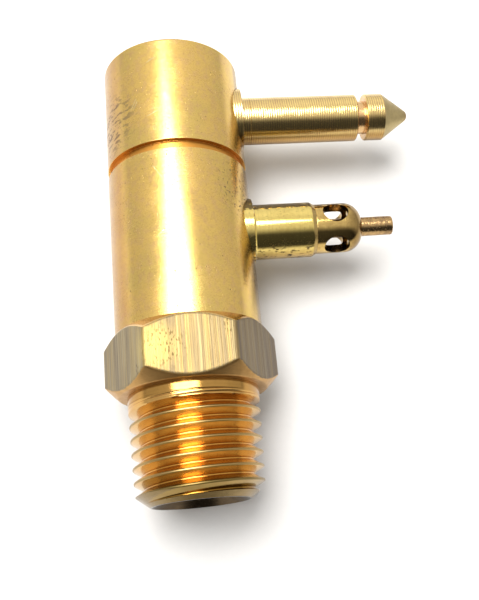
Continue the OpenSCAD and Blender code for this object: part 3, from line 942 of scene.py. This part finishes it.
def make_cage():
    """Domed cage with its cross ports, pressed into the sleeve's end."""
    guide_r = STEM_R + CLEARANCE
    centre_r, centre_x = CAGE_R - NOSE_R, CAGE_HIGH.x - NOSE_R
    rim_angle = math.degrees(math.acos((guide_r - centre_r) / NOSE_R))
    rim_x = centre_x + NOSE_R * math.sin(math.radians(rim_angle))
    cage = on_x("valve_cage_turned", VALVE_Y, rounded([
        (CAGE_BORE_R, SEAT_X),
        (CHAMBER_R, SEAT_X),
        (CHAMBER_R, SLEEVE_END_X),
        (CAGE_R, SLEEVE_END_X),
        *arc(centre_r, centre_x, NOSE_R, 0, rim_angle, 20),
        (guide_r, rim_x - NOSE_WALL),
        (CAGE_BORE_R, rim_x - NOSE_WALL),
    ], 0.04, closed=True), closed=True)
    mouth_r = PORT_R + EDGE_BREAK
    for i in range(PORT_COUNT):
        tool = on_x("port_tool", 0, [
            (0, 0), (PORT_R, 0), (PORT_R, CAGE_R - 2 * EDGE_BREAK), (mouth_r, CAGE_R + 0.02),
            (mouth_r, CAGE_R + 1), (0, CAGE_R + 1)], 72)
        turn = math.radians(PORT_CLOCK + 90 + 360 / PORT_COUNT * i)
        tool.data.transform(Matrix.Translation(Vector((PORT_X, VALVE_Y, 0)) * MM)
                            @ Matrix.Rotation(turn, 4, "X") @ Matrix.Rotation(-math.pi / 2, 4, "Y"))
        combine(cage, tool, "DIFFERENCE")
    shade(cage)
    return cage


def cage_surface(centre):
    """Which material a face of the cage has: its inside and ports are darker, with painted shade."""
    inside = math.hypot(centre.y - VALVE_Y, centre.z) < CAGE_R - EDGE_BREAK
    return "port" if inside and centre.x < CAGE_HIGH.x - NOSE_R else "cage"


# ---- valve ----

def roughen(piece, depth, scale):
    """Moves each point along its normal by a smooth noise, in millimetres."""
    for vertex in piece.data.vertices:
        vertex.co += vertex.normal * noise.noise(vertex.co / MM * scale) * depth * MM


def make_stem():
    """Drawn rod with a slightly uneven surface and a rounded tip."""
    steps, length = 80, STEM_HIGH.x - 0.5 - STEM_LOW.x
    shank = [(STEM_R, STEM_LOW.x + length * i / steps, 0) for i in range(steps + 1)]
    stem = on_x("valve_stem_drawn", VALVE_Y, rounded([
        (0, STEM_LOW.x), *shank, (STEM_R, STEM_HIGH.x, 0.28), (0, STEM_HIGH.x)], 0.05), 72)
    roughen(stem, -0.012, 2.3)
    shade(stem, 40)
    return stem


def make_poppet():
    """Round head with four flats, and the spigot that centres the spring."""
    head_r = CHAMBER_R - CLEARANCE
    bore_r = STEM_R + PRESS_GAP
    poppet = on_x("valve_poppet_turned", VALVE_Y, rounded([
        (bore_r, STEM_LOW.x),
        (SPIGOT_R, STEM_LOW.x),
        (SPIGOT_R, POPPET_BACK_X),
        (head_r, POPPET_BACK_X),
        (head_r, POPPET_FACE_X),
        (bore_r, POPPET_FACE_X),
    ], 0.06, closed=True), closed=True)
    half = POPPET_FLATS / 2
    corners = [(x, VALVE_Y + y * half, z * half) for x in (STEM_LOW.x - 0.5, POPPET_FACE_X + 0.5)
               for y, z in ((-1, -1), (1, -1), (1, 1), (-1, 1))]
    sides = [(0, 1, 2, 3), (7, 6, 5, 4)]
    sides += [(i, 4 + i, 4 + (i + 1) % 4, (i + 1) % 4) for i in range(4)]
    combine(poppet, mesh("flats_tool", corners, sides), "INTERSECT")
    shade(poppet)
    return poppet


def make_seal():
    """Moulded rubber washer on the poppet's face."""
    bore_r, seal_r = STEM_R + PRESS_GAP, SEAL_HIGH.y - VALVE_Y
    seal = on_x("valve_seal_moulded", VALVE_Y, rounded([
        (bore_r, POPPET_FACE_X),
        (seal_r, POPPET_FACE_X),
        (seal_r, SEAT_X),
        (bore_r, SEAT_X),
    ], 0.14, closed=True), closed=True)
    shade(seal, 40)
    return seal


def make_spring():
    """Round wire coiled with a closed turn at each end."""
    sides, steps, gap = 14, 48, 0.01
    first = SPRING_FOOT_X + WIRE_D / 2 + gap
    last = POPPET_BACK_X - WIRE_D / 2 - gap
    rise = last - first - 2 * WIRE_D
    count = int(SPRING_TURNS * steps)
    vertices, faces = [], []
    for k in range(count + 1):
        turn = k / steps
        x = first + WIRE_D * min(turn, 1)
        x += rise * min(max((turn - 1) / (SPRING_TURNS - 2), 0), 1)
        x += WIRE_D * max(turn - (SPRING_TURNS - 1), 0)
        for j in range(sides):
            round_wire = 2 * math.pi * j / sides
            across = SPRING_R + WIRE_D / 2 * math.cos(round_wire)
            vertices.append((x + WIRE_D / 2 * math.sin(round_wire),
                             VALVE_Y + across * math.cos(2 * math.pi * turn),
                             across * math.sin(2 * math.pi * turn)))
    for k in range(count):
        for j in range(sides):
            a, b = k * sides + j, k * sides + (j + 1) % sides
            faces.append((a, b, b + sides, a + sides))
    faces.append(tuple(range(sides)))
    faces.append(tuple(count * sides + j for j in reversed(range(sides))))
    spring = mesh("valve_spring_coiled", vertices, faces)
    shade(spring, 40)
    return spring


# ---- putting it together ----

def place(piece, node, body, slot, materials, rule):
    """Paints a piece, hangs it on its body and lets it stand for its CAD node."""
    paint(piece, materials, rule)
    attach(piece, body)
    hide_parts(node)


def pick(materials, *names):
    """The named materials only."""
    return {name: materials[name] for name in names}


def build_object():
    """Makes all eight pieces, each in place of its CAD node."""
    materials = make_materials()
    place(make_body(), "body", "fitting", "body_brass",
          pick(materials, "barrel", "bore", "mouth", "lead", "thread", "hexagon", "machined",
               "chamfer", "neck", "groove", "end"),
          body_surface)
    place(make_guide_pin(), "guide_pin", "fitting", "pin_brass",
          pick(materials, "pin", "latch", "cone"), pin_surface)
    place(make_sleeve(), "nozzle_sleeve", "fitting", "sleeve_brass",
          pick(materials, "sleeve", "rim"), sleeve_surface)
    place(make_cage(), "valve_cage", "fitting", "cage_brass",
          pick(materials, "cage", "port"), cage_surface)
    place(make_stem(), "valve_stem", "valve", "stem_brass",
          pick(materials, "stem"), lambda centre: "stem")
    place(make_poppet(), "valve_poppet", "valve", "poppet_brass",
          pick(materials, "poppet"), lambda centre: "poppet")
    place(make_seal(), "valve_seal", "valve", "seal_rubber",
          pick(materials, "seal"), lambda centre: "seal")
    spring = make_spring()
    place(spring, "valve_spring", "fitting", "spring_steel",
          pick(materials, "spring"), lambda centre: "spring")
    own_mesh(spring)


# ---- stage, light and camera ----

LIGHT_COLOUR = (1.0, 0.985, 0.96)


def make_floor():
    """A wide matt floor with a painted pool of light: pale where the object lies, greyer far away, and
    painted shade before the threaded end.
    """
    graph = Graph("floor_paper")
    grain = graph.noise((1.5, 1.5, 1.5), 3.0)
    paper = graph.mix(grain, (0.69, 0.685, 0.68), (0.72, 0.715, 0.71))
    centre = (CAD_BOX_CENTRE.x / MM, CAD_BOX_CENTRE.y / MM, FLOOR_Z)
    # Painted light: pale round the object, greyer far from it.
    tone = graph.mix(graph.near(centre, 50, 150), (0.50, 0.495, 0.49), paper)
    split = graph.node("ShaderNodeSeparateXYZ", {0: graph.place})
    # Painted shade: darker before the threaded end.
    pale = graph.ramp(split.outputs["Y"], -70, -16)
    tone = graph.mix(pale, (0.30, 0.29, 0.28), tone)
    material = finish(graph, tone, 0.7, None, 0.0)
    half, z = 1.2, FLOOR_Z * MM
    data = bpy.data.meshes.new("floor")
    data.from_pydata([(-half, -half, z), (half, -half, z), (half, half, z), (-half, half, z)], [],
                     [(0, 1, 2, 3)])
    data.materials.append(material)
    floor = bpy.data.objects.new("floor", data)
    bpy.context.scene.collection.objects.link(floor)


def add_softbox(name, direction, distance, size, radiance):
    """A rectangular light that looks back at the object from a direction, in metres."""
    data = bpy.data.lights.new(name, "AREA")
    data.shape = "RECTANGLE"
    data.size, data.size_y = size
    data.energy = radiance * math.pi * size[0] * size[1]
    data.color = LIGHT_COLOUR
    light = bpy.data.objects.new(name, data)
    bpy.context.scene.collection.objects.link(light)
    target = (CAD_BOX_CENTRE.x, CAD_BOX_CENTRE.y, 0)
    way = Vector(direction).normalized()
    light.location = Vector(target) + way * distance
    light.rotation_euler = way.to_track_quat("Z", "Y").to_euler()


def make_world():
    """A soft room: dark before the threaded end, and brightest beyond the blind end."""
    world = bpy.data.worlds.new("room")
    world.use_nodes = True
    bpy.context.scene.world = world
    tree = world.node_tree
    background = tree.nodes["Background"]
    way = tree.nodes.new("ShaderNodeTexCoord")
    split = tree.nodes.new("ShaderNodeSeparateXYZ")
    tree.links.new(way.outputs["Generated"], split.inputs[0])
    shares = []
    # axis, where the change starts and ends along it, and the brightness before and after
    changes = (("Z", 0.0, 0.9, 0.76, 0.95), ("Y", -0.62, -0.10, 0.07, 1.0), ("Y", 0.50, 0.80, 1.0, 1.35))
    for axis, low, high, dim, bright in changes:
        share = tree.nodes.new("ShaderNodeMapRange")
        share.interpolation_type = "SMOOTHSTEP"
        for index, value in enumerate((low, high, dim, bright), 1):
            share.inputs[index].default_value = value
        tree.links.new(split.outputs[axis], share.inputs[0])
        shares.append(share.outputs[0])
    light = shares[0]
    for share in shares[1:]:
        product = tree.nodes.new("ShaderNodeMath")
        product.operation = "MULTIPLY"
        tree.links.new(light, product.inputs[0])
        tree.links.new(share, product.inputs[1])
        light = product.outputs[0]
    background.inputs[0].default_value = (*LIGHT_COLOUR, 1)
    tree.links.new(light, background.inputs[1])


def make_camera():
    """A camera at an azimuth, elevation and roll about a target, in degrees and millimetres."""
    azimuth, elevation, roll = (math.radians(a) for a in (-23.53, 69.59, 18.25))
    target, distance = Vector((11.01, 20.42, 0)), 85.41
    back = Vector((math.sin(azimuth) * math.cos(elevation),
                   -math.cos(azimuth) * math.cos(elevation), math.sin(elevation)))
    level = Vector((0, 0, 1)).cross(back).normalized()
    upright = back.cross(level)
    right = math.cos(roll) * level + math.sin(roll) * upright
    up = -math.sin(roll) * level + math.cos(roll) * upright
    data = bpy.data.cameras.new("camera")
    data.lens = 46.48
    data.sensor_width = 36
    data.shift_x, data.shift_y = -0.0812, 0.0058
    data.clip_start, data.clip_end = 0.001, 20
    camera = bpy.data.objects.new("camera", data)
    bpy.context.scene.collection.objects.link(camera)
    place_at = Matrix((right, up, back)).transposed().to_4x4()
    place_at.translation = (target + distance * back) * MM
    camera.matrix_world = place_at
    bpy.context.scene.camera = camera


build_object()
make_floor()
make_world()
make_camera()
add_softbox("key_light", direction=(-0.26, 0.23, 1), distance=0.30, size=(0.22, 0.18), radiance=11.5)
bpy.context.scene.view_settings.view_transform = "Standard"
